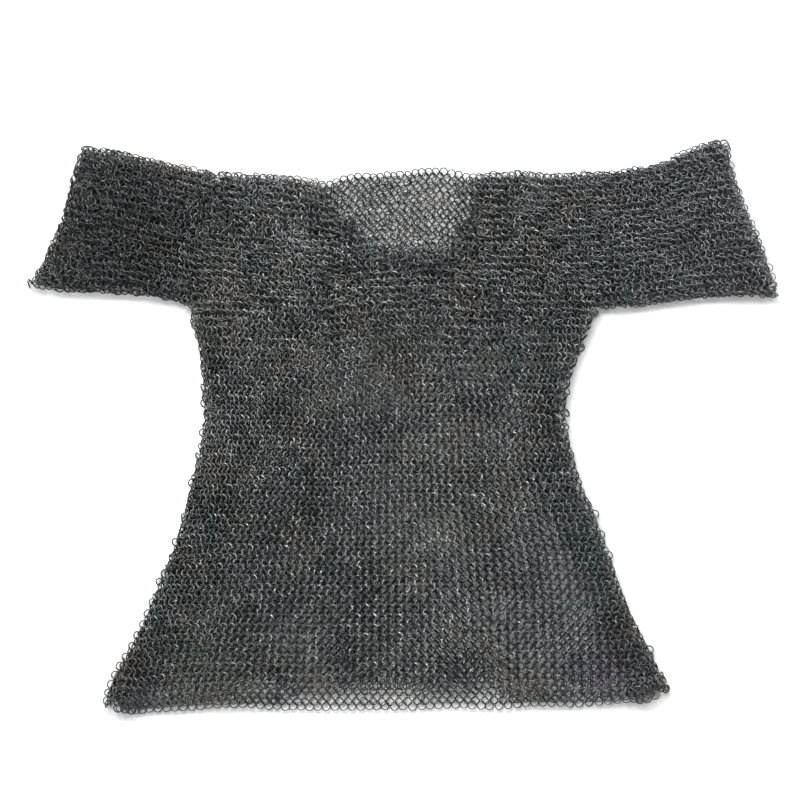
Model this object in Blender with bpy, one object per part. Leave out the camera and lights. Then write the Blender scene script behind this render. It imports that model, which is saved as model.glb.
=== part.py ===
"""A short-sleeved mail shirt of blackened steel rings, laid flat on its back.

Two layers of mail lie on each other. The back panel rests on the ground, the front panel lies on it, and
each sleeve is a flattened tube that meets both panels at the armhole. X runs across the shirt, Y from the hem
to the shoulders and Z up. The origin is under the middle of the whole shirt. Sides are named as the wearer
has them, so the right sleeve lies at -X.
"""

import math
from collections import namedtuple

import bpy

MM = 0.001

# Driving dimensions, in millimetres
WALL = 6.0
SEAM_GAP = 0.3
FOLD_RADIUS = 5.0
FREE_EDGE_RADIUS = 1.8
SHOULDER_BUNCHING = 0.8
BUNCHING_FROM = 110.0
BUNCHING_TO = 230.0
FRONT_HEM_RISE = 28.0
FRONT_HEM_FROM = -215.0
FRONT_HEM_TO = 190.0
FRONT_HEM_EASE = 75.0
CELL = 20.0
FOLD_STEPS = 3
FOLD_POINTS = FOLD_STEPS + 1

# Heights of the two layers
BACK_TOP = WALL
FRONT_BOTTOM = BACK_TOP + SEAM_GAP
FRONT_TOP = FRONT_BOTTOM + WALL

# The two side folds of the body, from the hem up to the armpits
BodySection = namedtuple("BodySection", "height right_fold left_fold")
BODY_SECTIONS = [
    BodySection(-416.0, -433.0, 388.0),
    BodySection(-381.0, -428.0, 386.0),
    BodySection(-338.0, -407.0, 365.0),
    BodySection(-287.0, -378.0, 338.0),
    BodySection(-236.0, -355.0, 318.0),
    BodySection(-186.0, -336.0, 301.0),
    BodySection(-135.0, -320.0, 283.0),
    BodySection(-84.0, -307.0, 261.0),
    BodySection(-33.0, -295.0, 245.0),
    BodySection(17.0, -288.0, 236.0),
    BodySection(68.0, -289.0, 244.0),
    BodySection(119.0, -297.0, 262.0),
    BodySection(170.0, -307.0, 282.0),
]

# Where each armhole meets the shoulder fold
RIGHT_SHOULDER_X = -272.0
LEFT_SHOULDER_X = 260.0

# The hem of the back, from the right corner to the left one
EdgePoint = namedtuple("EdgePoint", "across height")
HEM = [
    EdgePoint(-433.0, -400.0),
    EdgePoint(-426.0, -411.0),
    EdgePoint(-396.0, -416.0),
    EdgePoint(-328.0, -411.0),
    EdgePoint(-237.0, -409.0),
    EdgePoint(-120.0, -410.0),
    EdgePoint(0.0, -410.0),
    EdgePoint(112.0, -409.0),
    EdgePoint(178.0, -405.0),
    EdgePoint(279.0, -405.0),
    EdgePoint(344.0, -401.0),
    EdgePoint(372.0, -395.0),
    EdgePoint(387.0, -382.0),
]

# The shoulder folds, with the back of the neck between them
SHOULDER_LINE = [
    EdgePoint(-272.0, 370.0),
    EdgePoint(-214.0, 366.0),
    EdgePoint(-154.0, 362.0),
    EdgePoint(-108.0, 357.0),
    EdgePoint(-92.0, 361.0),
    EdgePoint(-56.0, 366.0),
    EdgePoint(-14.0, 370.0),
    EdgePoint(46.0, 373.0),
    EdgePoint(88.0, 371.0),
    EdgePoint(130.0, 369.0),
    EdgePoint(172.0, 370.0),
    EdgePoint(202.0, 367.0),
    EdgePoint(237.0, 369.0),
    EdgePoint(260.0, 369.0),
]
NECK_RIGHT_X = -108.0
NECK_LEFT_X = 105.0

# The scoop of the front neck, from its right top end round to its left one
NECKLINE = [
    EdgePoint(-108.0, 357.0),
    EdgePoint(-107.0, 331.0),
    EdgePoint(-95.0, 318.0),
    EdgePoint(-79.0, 307.0),
    EdgePoint(-66.0, 297.0),
    EdgePoint(-61.0, 281.0),
    EdgePoint(-46.0, 270.0),
    EdgePoint(-24.0, 265.0),
    EdgePoint(8.0, 260.0),
    EdgePoint(38.0, 262.0),
    EdgePoint(64.0, 263.0),
    EdgePoint(73.0, 273.0),
    EdgePoint(76.0, 287.0),
    EdgePoint(87.0, 301.0),
    EdgePoint(93.0, 315.0),
    EdgePoint(96.0, 345.0),
    EdgePoint(105.0, 367.0),
]

# Each sleeve, from the armhole out to the cuff. Over is its fold along the top and under the one below the
# arm. Bow draws the middle of the line between them in towards the body, and lean adds to that near the over
# fold and takes it away near the under one
SleeveSection = namedtuple("SleeveSection", "over_x over_y under_x under_y bow lean")
RIGHT_SLEEVE = [
    SleeveSection(-272.0, 370.0, -307.0, 170.0, 0.0, 0.0),
    SleeveSection(-314.0, 377.0, -333.0, 183.0, 0.0, 0.0),
    SleeveSection(-362.0, 387.0, -378.0, 191.0, 1.0, -1.0),
    SleeveSection(-410.0, 400.0, -438.0, 196.0, 5.0, -5.0),
    SleeveSection(-438.0, 404.0, -496.0, 197.0, 9.0, -10.0),
    SleeveSection(-462.0, 408.0, -544.5, 206.0, 12.5, -15.0),
]
LEFT_SLEEVE = [
    SleeveSection(260.0, 369.0, 282.0, 170.0, 0.0, 0.0),
    SleeveSection(314.0, 371.0, 333.0, 175.0, 0.0, 0.0),
    SleeveSection(365.0, 382.0, 388.0, 182.5, 0.0, 1.0),
    SleeveSection(415.0, 403.0, 443.0, 188.0, 1.0, 4.0),
    SleeveSection(446.0, 414.0, 496.0, 189.0, 2.0, 8.0),
    SleeveSection(473.0, 416.0, 544.5, 186.0, 2.7, 12.0),
]

# Soft ridges where the rings are pushed together and stand steeper. Turn is in degrees from X
Ridge = namedtuple("Ridge", "across height length width rise turn")
RIDGES = [
    Ridge(-112.0, 318.0, 95.0, 34.0, 2.4, 112.0),
    Ridge(118.0, 318.0, 100.0, 36.0, 2.4, 72.0),
    Ridge(4.0, 246.0, 170.0, 26.0, 1.2, 2.0),
    Ridge(-412.0, 378.0, 60.0, 26.0, 1.8, 92.0),
    Ridge(-505.0, 222.0, 80.0, 30.0, 2.0, 35.0),
    Ridge(-322.0, 205.0, 110.0, 34.0, 1.6, 58.0),
    Ridge(306.0, 212.0, 120.0, 36.0, 1.6, 124.0),
    Ridge(4.0, 112.0, 130.0, 44.0, 1.0, 96.0),
    Ridge(-196.0, 40.0, 190.0, 48.0, 1.1, 74.0),
    Ridge(150.0, 20.0, 170.0, 44.0, 1.1, 106.0),
    Ridge(-60.0, -120.0, 240.0, 52.0, 0.9, 84.0),
    Ridge(205.0, -230.0, 230.0, 50.0, 1.2, 112.0),
    Ridge(-270.0, -300.0, 190.0, 46.0, 1.2, 64.0),
]

Finish = namedtuple("Finish", "colour roughness metallic")
FINISHES = {
    "back_panel": Finish((0.040, 0.041, 0.043, 1.0), 0.46, 1.0),
    "front_panel": Finish((0.046, 0.047, 0.050, 1.0), 0.42, 1.0),
    "right_sleeve": Finish((0.043, 0.044, 0.046, 1.0), 0.44, 1.0),
    "left_sleeve": Finish((0.048, 0.050, 0.054, 1.0), 0.40, 1.0),
}


def clear_scene():
    """Removes every object of the scene that the script starts in."""
    for obj in list(bpy.data.objects):
        bpy.data.objects.remove(obj, do_unlink=True)


def ease(share):
    """A smooth step from 0 to 1."""
    share = min(max(share, 0.0), 1.0)
    return share * share * (3.0 - 2.0 * share)


def smooth_value(places, values, place):
    """The value at a place, on a smooth curve through the given values at rising places."""
    place = min(max(place, places[0]), places[-1])
    last = len(places) - 2
    i = min(last, max(k for k, start in enumerate(places) if start <= place))
    span = places[i + 1] - places[i]
    share = (place - places[i]) / span
    slopes = []
    for k in (i, i + 1):
        before, after = max(k - 1, 0), min(k + 1, len(places) - 1)
        slopes.append((values[after] - values[before]) / (places[after] - places[before]) * span)
    rise = values[i + 1] - values[i]
    bend = (slopes[0] + slopes[1] - 2.0 * rise) * share + 3.0 * rise - 2.0 * slopes[0] - slopes[1]
    return values[i] + share * (slopes[0] + share * bend)


def edge_height(points, across):
    """The height of a drawn edge at a place across the shirt."""
    return smooth_value([p.across for p in points], [p.height for p in points], across)


def shoulder_height(across):
    return edge_height(SHOULDER_LINE, across)


def back_hem_height(across):
    return edge_height(HEM, across)


def front_hem_height(across):
    """The front is a little shorter than the back in the middle."""
    into = min(across - FRONT_HEM_FROM, FRONT_HEM_TO - across)
    return back_hem_height(across) + FRONT_HEM_RISE * ease(into / FRONT_HEM_EASE)


def body_side(height, fold):
    """The right or left edge of a body panel: its side fold, and above the armpit the armhole."""
    armpit = BODY_SECTIONS[-1]
    edge = getattr(armpit, fold)
    if height <= armpit.height:
        places = [section.height for section in BODY_SECTIONS]
        return smooth_value(places, [getattr(section, fold) for section in BODY_SECTIONS], height)
    shoulder_x = RIGHT_SHOULDER_X if fold == "right_fold" else LEFT_SHOULDER_X
    top = shoulder_height(shoulder_x)
    return edge + (shoulder_x - edge) * (height - armpit.height) / (top - armpit.height)


def bunching(across, height):
    """How far the outer face of the mail stands above a plain wall."""
    rise = SHOULDER_BUNCHING * ease((height - BUNCHING_FROM) / (BUNCHING_TO - BUNCHING_FROM))
    for ridge in RIDGES:
        turn = math.radians(ridge.turn)
        dx, dy = across - ridge.across, height - ridge.height
        along = (dx * math.cos(turn) + dy * math.sin(turn)) / (0.5 * ridge.length)
        aside = (dy * math.cos(turn) - dx * math.sin(turn)) / (0.5 * ridge.width)
        rise += ridge.rise * math.exp(-along * along - aside * aside)
    return rise


def round_over(inset, radius):
    """How much lower a rounded edge is at this distance in from its rim."""
    if inset >= radius:
        return 0.0
    return radius - math.sqrt(radius * radius - (radius - inset) ** 2)


def stations(length, cell, first_radius, last_radius):
    """Distances along a stretch: close together over each rounded end and a cell apart between them."""
    rounds = [1.0 - math.cos(0.5 * math.pi * k / FOLD_STEPS) for k in range(FOLD_STEPS + 1)]
    first = [first_radius * share for share in rounds]
    last = [length - last_radius * share for share in reversed(rounds)]
    inner = max(2, round((length - first_radius - last_radius) / cell))
    between = [first[-1] + (last[0] - first[-1]) * k / inner for k in range(1, inner)]
    return first + between + last


def mail_material(name):
    """Blackened steel in the tone of one piece."""
    finish = FINISHES[name]
    material = bpy.data.materials.new(name + "_mail")
    material.use_nodes = True
    shader = material.node_tree.nodes["Principled BSDF"]
    shader.inputs["Base Color"].default_value = finish.colour
    shader.inputs["Roughness"].default_value = finish.roughness
    shader.inputs["Metallic"].default_value = finish.metallic
    return material


def add_object(name, points, faces):
    """A named object from points in millimetres."""
    mesh = bpy.data.meshes.new(name)
    mesh.from_pydata([(x * MM, y * MM, z * MM) for x, y, z in points], [], faces)
    mesh.validate()
    obj = bpy.data.objects.new(name, mesh)
    bpy.context.scene.collection.objects.link(obj)
    mesh.shade_smooth()
    mesh.set_sharp_from_angle(angle=math.radians(50.0))
    return obj


def wall_between(name, upper, lower):
    """A closed wall from two grids of points, the upper face and the lower one, joined round their rims."""
    rows, columns = len(upper), len(upper[0])
    points = [p for grid in (upper, lower) for row in grid for p in row]
    below = rows * columns
    faces = []
    for r in range(rows - 1):
        for c in range(columns - 1):
            a, b = r * columns + c, r * columns + c + 1
            d, e = a + columns, b + columns
            faces.append((a, b, e, d))
            faces.append((below + a, below + d, below + e, below + b))
    rim = [c for c in range(columns)]
    rim += [r * columns + columns - 1 for r in range(1, rows)]
    rim += [(rows - 1) * columns + c for c in range(columns - 2, -1, -1)]
    rim += [r * columns for r in range(rows - 2, 0, -1)]
    for a, b in zip(rim, rim[1:] + rim[:1]):
        faces.append((b, a, below + a, below + b))
    return add_object(name, points, faces)


def body_panel(name, hem_height, is_front):
    """A panel of the body, rounded over where it folds at the sides and shoulders."""
    armpit = BODY_SECTIONS[-1].height
    widest = BODY_SECTIONS[0].left_fold - BODY_SECTIONS[0].right_fold
    across = stations(widest, CELL, FOLD_RADIUS, FOLD_RADIUS)
    length = shoulder_height(0.0) - hem_height(0.0)
    along = stations(length, CELL, FREE_EDGE_RADIUS, FOLD_RADIUS)
    upper, lower = [], []
    for up in along:
        upper_row, lower_row = [], []
        for out in across:
            x, y = panel_point(out, up, widest, length, hem_height)
            side_radius = FOLD_RADIUS if y < armpit - CELL else 0.0
            in_neck = NECK_RIGHT_X < x < NECK_LEFT_X
            top_radius = FREE_EDGE_RADIUS if in_neck else FOLD_RADIUS
            drop = max(
                round_over(min(out, widest - out), side_radius),
                round_over(up, FREE_EDGE_RADIUS),
                round_over(length - up, top_radius),
            )
            if is_front:
                upper_row.append((x, y, FRONT_TOP + bunching(x, y) * (1.0 - drop / FOLD_RADIUS) - drop))
                lower_row.append((x, y, FRONT_BOTTOM))
            else:
                upper_row.append((x, y, BACK_TOP))
                lower_row.append((x, y, drop))
        upper.append(upper_row)
        lower.append(lower_row)
    return wall_between(name, upper, lower)


def panel_point(out, up, widest, length, hem_height):
    """Where a point of a panel lies, from its distance in from the right side fold and up from the hem."""
    x = BODY_SECTIONS[0].right_fold + out
    for _ in range(6):
        low, high = hem_height(x), shoulder_height(x)
        y = stretched(up, length, low, high)
        x = stretched(out, widest, body_side(y, "right_fold"), body_side(y, "left_fold"))
    return x, y


def stretched(place, length, low, high):
    """Fits a stretch between two edges and keeps the distances over its rounded ends."""
    if place <= FOLD_RADIUS:
        return low + place
    if place >= length - FOLD_RADIUS:
        return high - (length - place)
    share = (place - FOLD_RADIUS) / (length - 2.0 * FOLD_RADIUS)
    return low + FOLD_RADIUS + share * (high - low - 2.0 * FOLD_RADIUS)


def neck_cutter():
    """The prism that opens the scooped neck in the front panel, with a little room above the shoulders."""
    over = 30.0
    outline = [(p.across, p.height) for p in NECKLINE]
    outline += [(NECK_LEFT_X, NECKLINE[-1].height + over), (NECK_RIGHT_X, NECKLINE[0].height + over)]
    count = len(outline)
    low, high = FRONT_BOTTOM - over, FRONT_TOP + over
    points = [(x, y, low) for x, y in outline] + [(x, y, high) for x, y in outline]
    faces = [tuple(range(count - 1, -1, -1)), tuple(range(count, 2 * count))]
    for k in range(count):
        after = (k + 1) % count
        faces.append((k, after, count + after, count + k))
    cutter = add_object("neck_cutter", points, faces)
    cutter.hide_render = True
    cutter.display_type = "WIRE"
    return cutter


def cut_neck(panel):
    """Cuts the neck out of the front panel."""
    cut = panel.modifiers.new("neck", "BOOLEAN")
    cut.operation = "DIFFERENCE"
    cut.object = neck_cutter()


def sleeve_line(sections, share):
    """The two ends and the bow of the sleeve's section at this share of its length."""
    places = [k / (len(sections) - 1) for k in range(len(sections))]
    found = [smooth_value(places, [getattr(s, field) for s in sections], share) for field in sections[0]._fields]
    return SleeveSection(*found)


def sleeve(name, sections, outward):
    """A flattened tube of mail, open at the armhole and at the cuff."""
    first = sections[0]
    width = math.hypot(first.over_x - first.under_x, first.over_y - first.under_y)
    around = stations(width, CELL, FOLD_RADIUS, FOLD_RADIUS)
    reach = abs(sections[-1].under_x - first.under_x)
    steps = round(reach / CELL)
    along = [0.0] + [k / steps for k in range(1, steps)] + [1.0 - FREE_EDGE_RADIUS / reach, 1.0]
    loops = [sleeve_loops(sections, share, width, around, outward) for share in along]
    points = [p for outer, inner in loops for p in outer + inner]
    outer_count, inner_count = len(loops[0][0]), len(loops[0][1])
    stride = outer_count + inner_count
    faces = []
    for k in range(len(along) - 1):
        faces += tube_faces(k * stride, stride, outer_count, outward < 0)
        faces += tube_faces(k * stride + outer_count, stride, inner_count, outward > 0)
    for start, flip in ((0, outward > 0), ((len(along) - 1) * stride, outward < 0)):
        faces += mouth_faces(start, len(around), flip)
    return add_object(name, points, faces)


def sleeve_loops(sections, share, width, around, outward):
    """The outer loop of one section and the slit inside it, both from the under fold to the over fold and back."""
    line = sleeve_line(sections, share)
    reach = abs(sections[-1].under_x - sections[0].under_x)
    cuff_drop = round_over((1.0 - share) * reach, FREE_EDGE_RADIUS)
    gap = outward * (SEAM_GAP + 0.05) if share == 0.0 else 0.0
    span = math.hypot(line.over_x - line.under_x, line.over_y - line.under_y)
    upper, lower = [], []
    for place in around:
        part = stretched(place, width, 0.0, span) / span
        bow = -outward * 4.0 * part * (1.0 - part) * (line.bow + line.lean * (2.0 * part - 1.0))
        x = line.under_x + (line.over_x - line.under_x) * part + bow + gap
        y = line.under_y + (line.over_y - line.under_y) * part
        drop = max(round_over(min(place, width - place), FOLD_RADIUS), cuff_drop)
        upper.append((x, y, FRONT_TOP + bunching(x, y) * (1.0 - drop / FOLD_RADIUS) - drop))
        lower.append((x, y, drop))
    slit = lower[FOLD_POINTS:-FOLD_POINTS]
    slit_upper = [(x, y, FRONT_BOTTOM) for x, y, _ in slit]
    slit_lower = [(x, y, BACK_TOP) for x, y, _ in slit]
    return upper + lower[::-1], slit_upper + slit_lower[::-1]


def tube_faces(start, stride, count, flip):
    """The faces between one loop of a tube and the next."""
    faces = []
    for k in range(count):
        after = (k + 1) % count
        face = (start + k, start + after, start + stride + after, start + stride + k)
        faces.append(face if flip else face[::-1])
    return faces


def mouth_faces(start, half, flip):
    """The faces at an open end, between the outer loop of two half loops and the slit."""
    slit_half = half - 2 * FOLD_POINTS
    slit = start + 2 * half
    faces = []
    for k in range(slit_half - 1):
        for out, into in ((FOLD_POINTS + k, k), (half + FOLD_POINTS + k, slit_half + k)):
            faces.append((start + out, start + out + 1, slit + into + 1, slit + into))
    for middle, into in ((half, slit_half), (2 * half, 2 * slit_half)):
        fold = [start + k % (2 * half) for k in range(middle - 1 - FOLD_POINTS, middle + FOLD_POINTS + 1)]
        faces.append(tuple(fold + [slit + into % (2 * slit_half), slit + into - 1]))
    return [face if flip else face[::-1] for face in faces]


def main():
    """Builds the shirt from the ground up."""
    clear_scene()
    pieces = [
        body_panel("back_panel", back_hem_height, False),
        body_panel("front_panel", front_hem_height, True),
        sleeve("right_sleeve", RIGHT_SLEEVE, -1.0),
        sleeve("left_sleeve", LEFT_SLEEVE, 1.0),
    ]
    cut_neck(pieces[1])
    for piece in pieces:
        piece.data.materials.append(mail_material(piece.name))


main()
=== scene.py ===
"""The looks of a chainmail hauberk that lies flat: every ring in its two layers of mail.

The drawing's lengths and places are millimetres. What is built is in metres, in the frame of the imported
model. Right and left are the wearer's, as in the names of the pieces.
"""

from __future__ import annotations

import logging
import math
from dataclasses import dataclass, field
from enum import Enum
from typing import Any

import bpy
import numpy as np
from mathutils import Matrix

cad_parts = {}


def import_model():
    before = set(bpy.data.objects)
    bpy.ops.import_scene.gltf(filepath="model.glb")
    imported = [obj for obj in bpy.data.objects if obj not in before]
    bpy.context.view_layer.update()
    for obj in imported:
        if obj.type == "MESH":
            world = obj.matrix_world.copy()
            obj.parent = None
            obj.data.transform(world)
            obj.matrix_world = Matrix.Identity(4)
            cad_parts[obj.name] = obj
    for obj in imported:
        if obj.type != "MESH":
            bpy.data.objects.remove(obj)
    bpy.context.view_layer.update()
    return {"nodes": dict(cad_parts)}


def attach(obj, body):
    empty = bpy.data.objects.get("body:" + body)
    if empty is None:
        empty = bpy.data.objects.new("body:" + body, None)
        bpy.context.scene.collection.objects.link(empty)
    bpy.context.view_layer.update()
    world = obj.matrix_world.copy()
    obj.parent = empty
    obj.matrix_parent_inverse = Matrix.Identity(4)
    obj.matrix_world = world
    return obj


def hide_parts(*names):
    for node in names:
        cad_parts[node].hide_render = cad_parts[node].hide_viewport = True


log = logging.getLogger("hauberk")

MM = 0.001
UP = np.array([0.0, 0.0, 1.0])


def smooth_values(places: Any, values: Any, at: Any) -> np.ndarray:
    """Reads a smooth curve through given values.

    Args:
        places: Rising places where the values are known.
        values: The value at each of them.
        at: The places to read, held within the known ones.

    Returns:
        One value for each place read.
    """
    places, values = np.asarray(places, float), np.asarray(values, float)
    at = np.clip(np.asarray(at, float), places[0], places[-1])
    last = len(places) - 1
    order = np.arange(last + 1)
    before, after = np.maximum(order - 1, 0), np.minimum(order + 1, last)
    slopes = (values[after] - values[before]) / (places[after] - places[before])
    i = np.clip(np.searchsorted(places, at, side="right") - 1, 0, last - 1)
    span = places[i + 1] - places[i]
    share = (at - places[i]) / span
    first, second = slopes[i] * span, slopes[i + 1] * span
    rise = values[i + 1] - values[i]
    bend = (first + second - 2.0 * rise) * share + 3.0 * rise - 2.0 * first - second
    return values[i] + share * (first + share * bend)


def columns_at(table: tuple, at: Any) -> list[np.ndarray]:
    """Each column of a table read at some places, which its first column gives in rising order."""
    places, *columns = zip(*table)
    return [np.interp(at, places, column) for column in columns]


def ease(share: Any) -> np.ndarray:
    """A smooth step from 0 to 1."""
    share = np.clip(share, 0.0, 1.0)
    return share * share * (3.0 - 2.0 * share)


def add_object(name: str, data: bpy.types.ID) -> bpy.types.Object:
    """A new object in the scene."""
    made = bpy.data.objects.new(name, data)
    bpy.context.scene.collection.objects.link(made)
    return made


def unit(vectors: np.ndarray) -> np.ndarray:
    """The vectors, each made one long."""
    return vectors / np.linalg.norm(vectors, axis=-1, keepdims=True)


def turned(vectors: np.ndarray, axes: np.ndarray, angles: np.ndarray) -> np.ndarray:
    """Turns each vector about its own axis.

    Args:
        vectors: The vectors, one a row.
        axes: A unit axis for each.
        angles: The angle of each, in radians.

    Returns:
        The turned vectors.
    """
    c, s = np.cos(angles)[:, None], np.sin(angles)[:, None]
    along = np.sum(axes * vectors, axis=1, keepdims=True)
    return vectors * c + np.cross(axes, vectors) * s + axes * along * (1.0 - c)


class Layer(Enum):
    """The two layers of mail, with the height of their middle and the way they turn over a fold."""

    FRONT = (10.9, 1.0)
    BACK = (4.0, -1.0)

    @property
    def middle(self) -> float:
        """The height of the ring centres above the ground, in millimetres."""
        return self.value[0]

    @property
    def way(self) -> float:
        """1 for the layer on top, -1 for the one below."""
        return self.value[1]


@dataclass(frozen=True)
class Ridge:
    """A soft ridge where rings are pushed together and stand steeper. Turn is in degrees from X."""

    across: float
    height: float
    length: float
    width: float
    rise: float
    turn: float

    def shares(self, x: np.ndarray, y: np.ndarray) -> tuple[np.ndarray, np.ndarray, np.ndarray]:
        """The ridge's strength at some places, the direction across it and the distance from it."""
        turn = math.radians(self.turn)
        dx, dy = x - self.across, y - self.height
        along = (dx * math.cos(turn) + dy * math.sin(turn)) / (0.5 * self.length)
        aside = dy * math.cos(turn) - dx * math.sin(turn)
        strength = np.exp(-(along**2) - (aside / (0.5 * self.width)) ** 2)
        return strength, np.array([-math.sin(turn), math.cos(turn)]), aside


@dataclass(frozen=True)
class Outline:
    """The drawn edges of the shirt, as the part has them."""

    # Height, right side fold, left side fold
    sides: tuple = (
        (-416.0, -433.0, 388.0), (-381.0, -428.0, 386.0), (-338.0, -407.0, 365.0),
        (-287.0, -378.0, 338.0), (-236.0, -355.0, 318.0), (-186.0, -336.0, 301.0),
        (-135.0, -320.0, 283.0), (-84.0, -307.0, 261.0), (-33.0, -295.0, 245.0),
        (17.0, -288.0, 236.0), (68.0, -289.0, 244.0), (119.0, -297.0, 262.0), (170.0, -307.0, 282.0),
    )
    hem: tuple = (
        (-433.0, -400.0), (-426.0, -411.0), (-396.0, -416.0), (-328.0, -411.0), (-237.0, -409.0),
        (-120.0, -410.0), (0.0, -410.0), (112.0, -409.0), (178.0, -405.0), (279.0, -405.0),
        (344.0, -401.0), (372.0, -395.0), (387.0, -382.0),
    )
    shoulder: tuple = (
        (-272.0, 370.0), (-214.0, 366.0), (-154.0, 362.0), (-108.0, 357.0), (-92.0, 361.0),
        (-56.0, 366.0), (-14.0, 370.0), (46.0, 373.0), (88.0, 371.0), (130.0, 369.0), (172.0, 370.0),
        (202.0, 367.0), (237.0, 369.0), (260.0, 369.0),
    )
    neckline: tuple = (
        (-108.0, 400.0), (-108.0, 357.0), (-107.0, 331.0), (-95.0, 318.0), (-79.0, 307.0),
        (-66.0, 297.0), (-61.0, 281.0), (-46.0, 270.0), (-24.0, 265.0), (8.0, 260.0), (38.0, 262.0),
        (64.0, 263.0), (73.0, 273.0), (76.0, 287.0), (87.0, 301.0), (93.0, 315.0), (96.0, 345.0),
        (105.0, 367.0), (105.0, 400.0),
    )
    right_armhole: tuple = ((-307.0, 170.0), (-272.0, 370.0))
    left_armhole: tuple = ((282.0, 170.0), (260.0, 369.0))
    front_hem_rise: float = 28.0
    front_hem_from: float = -215.0
    front_hem_to: float = 190.0
    front_hem_ease: float = 75.0
    front_hem_lift: float = 6.0

    @property
    def armpit(self) -> float:
        """The height of the armpits."""
        return self.sides[-1][0]

    def hem_height(self, x: np.ndarray, layer: Layer) -> np.ndarray:
        """The hem of a layer. The front is a little shorter than the back in the middle."""
        height = smooth_values(*zip(*self.hem), x)
        if layer is Layer.BACK:
            return height
        into = np.minimum(x - self.front_hem_from, self.front_hem_to - x)
        from_corner = np.minimum(x - self.hem[0][0], self.hem[-1][0] - x)
        lift = self.front_hem_lift * ease(from_corner / self.front_hem_ease)
        return height + np.maximum(lift, self.front_hem_rise * ease(into / self.front_hem_ease))

    def shoulder_height(self, x: np.ndarray) -> np.ndarray:
        """The fold over the shoulders, and the back's own edge between them."""
        return smooth_values(*zip(*self.shoulder), x)

    def side(self, y: np.ndarray, right: bool) -> np.ndarray:
        """The side fold at some heights, and above the armpit the armhole."""
        heights, rights, lefts = zip(*self.sides)
        fold = smooth_values(heights, rights if right else lefts, y)
        low, high = self.right_armhole if right else self.left_armhole
        line = low[0] + (high[0] - low[0]) * (y - low[1]) / (high[1] - low[1])
        return np.where(y > self.armpit, line, fold)

    def from_neck(self, x: np.ndarray, y: np.ndarray) -> np.ndarray:
        """The distance from the front neckline, below zero inside the opening."""
        corners = np.array(self.neckline)
        starts, ends = corners[:-1], corners[1:]
        places = np.stack([x, y], axis=1)[:, None, :]
        spans = ends - starts
        share = np.sum((places - starts) * spans, axis=2) / np.sum(spans**2, axis=1)
        nearest = starts + np.clip(share, 0.0, 1.0)[:, :, None] * spans
        away = np.linalg.norm(places - nearest, axis=2).min(axis=1)
        rising = (starts[:, 1] > y[:, None]) != (ends[:, 1] > y[:, None])
        run_for_rise = spans[:, 0] / np.where(spans[:, 1], spans[:, 1], 1e9)
        crossing = starts[:, 0] + (y[:, None] - starts[:, 1]) * run_for_rise
        below_top = y < corners[0, 1]
        inside = (np.sum(rising & (crossing > x[:, None]), axis=1) % 2 == 1) & below_top
        return np.where(inside, -away, away)


@dataclass(frozen=True)
class SleeveLines:
    """The fold over the arm and the one below it, section by section from the armhole to the cuff."""

    # Over x and y, under x and y, bow, lean of the bow
    sections: tuple
    outward: float

    def place(self, along: Any, up: Any) -> tuple[np.ndarray, np.ndarray]:
        """A place on the sleeve.

        Args:
            along: 0 at the armhole, 1 at the cuff.
            up: 0 at the fold below the arm, 1 at the fold over it.

        Returns:
            The place across and its height.
        """
        stations = np.linspace(0.0, 1.0, len(self.sections))
        over_x, over_y, under_x, under_y, bow, lean = (
            smooth_values(stations, values, along) for values in zip(*self.sections)
        )
        inward = -self.outward * 4.0 * up * (1.0 - up) * (bow + lean * (2.0 * up - 1.0))
        return under_x + (over_x - under_x) * up + inward, under_y + (over_y - under_y) * up


RIGHT_ARM = SleeveLines(
    sections=(
        (-272.0, 370.0, -307.0, 170.0, 0.0, 0.0),
        (-314.0, 377.0, -333.0, 183.0, 0.0, 0.0),
        (-362.0, 387.0, -378.0, 191.0, 1.0, -1.0),
        (-410.0, 400.0, -438.0, 196.0, 5.0, -5.0),
        (-438.0, 404.0, -496.0, 197.0, 9.0, -10.0),
        (-462.0, 408.0, -544.5, 206.0, 10.5, -11.0),
    ),
    outward=-1.0,
)
LEFT_ARM = SleeveLines(
    sections=(
        (260.0, 369.0, 282.0, 170.0, 0.0, 0.0),
        (314.0, 371.0, 333.0, 175.0, 0.0, 0.0),
        (365.0, 382.0, 388.0, 182.5, 0.0, 1.0),
        (415.0, 403.0, 443.0, 188.0, 1.0, 4.0),
        (446.0, 414.0, 496.0, 189.0, 2.0, 8.0),
        (473.0, 416.0, 544.5, 186.0, 2.7, 12.0),
    ),
    outward=1.0,
)


@dataclass(frozen=True)
class Drift:
    """A slow wandering value over the mail, the same on every run."""

    seed: int
    reach: float
    waves: int = 9

    def at(self, x: np.ndarray, y: np.ndarray) -> np.ndarray:
        """The value at some places, mostly between -1 and 1."""
        chance = np.random.default_rng(self.seed)
        total = np.zeros(np.shape(x))
        for turn, length, start in zip(
            chance.uniform(0.0, math.pi, self.waves),
            self.reach * chance.uniform(0.55, 1.8, self.waves),
            chance.uniform(0.0, 2.0 * math.pi, self.waves),
        ):
            total += np.sin(2.0 * math.pi * (x * math.cos(turn) + y * math.sin(turn)) / length + start)
        return total / math.sqrt(self.waves)


@dataclass
class Rings:
    """Where rings lie and how they face, in millimetres."""

    places: np.ndarray
    facing: np.ndarray
    sizes: np.ndarray

    def lift_from_ground(self, radius: float, wire: float) -> None:
        """Raises the rings that would dip into the ground."""
        half = radius * self.sizes * np.sqrt(np.clip(1.0 - self.facing[:, 2] ** 2, 0.0, 1.0)) + wire
        self.places[:, 2] = np.maximum(self.places[:, 2], half)

    @staticmethod
    def joined(parts: list[Rings]) -> Rings:
        """All the rings of several runs."""
        return Rings(
            np.concatenate([p.places for p in parts]),
            np.concatenate([p.facing for p in parts]),
            np.concatenate([p.sizes for p in parts]),
        )

    def __len__(self) -> int:
        return len(self.places)


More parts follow.
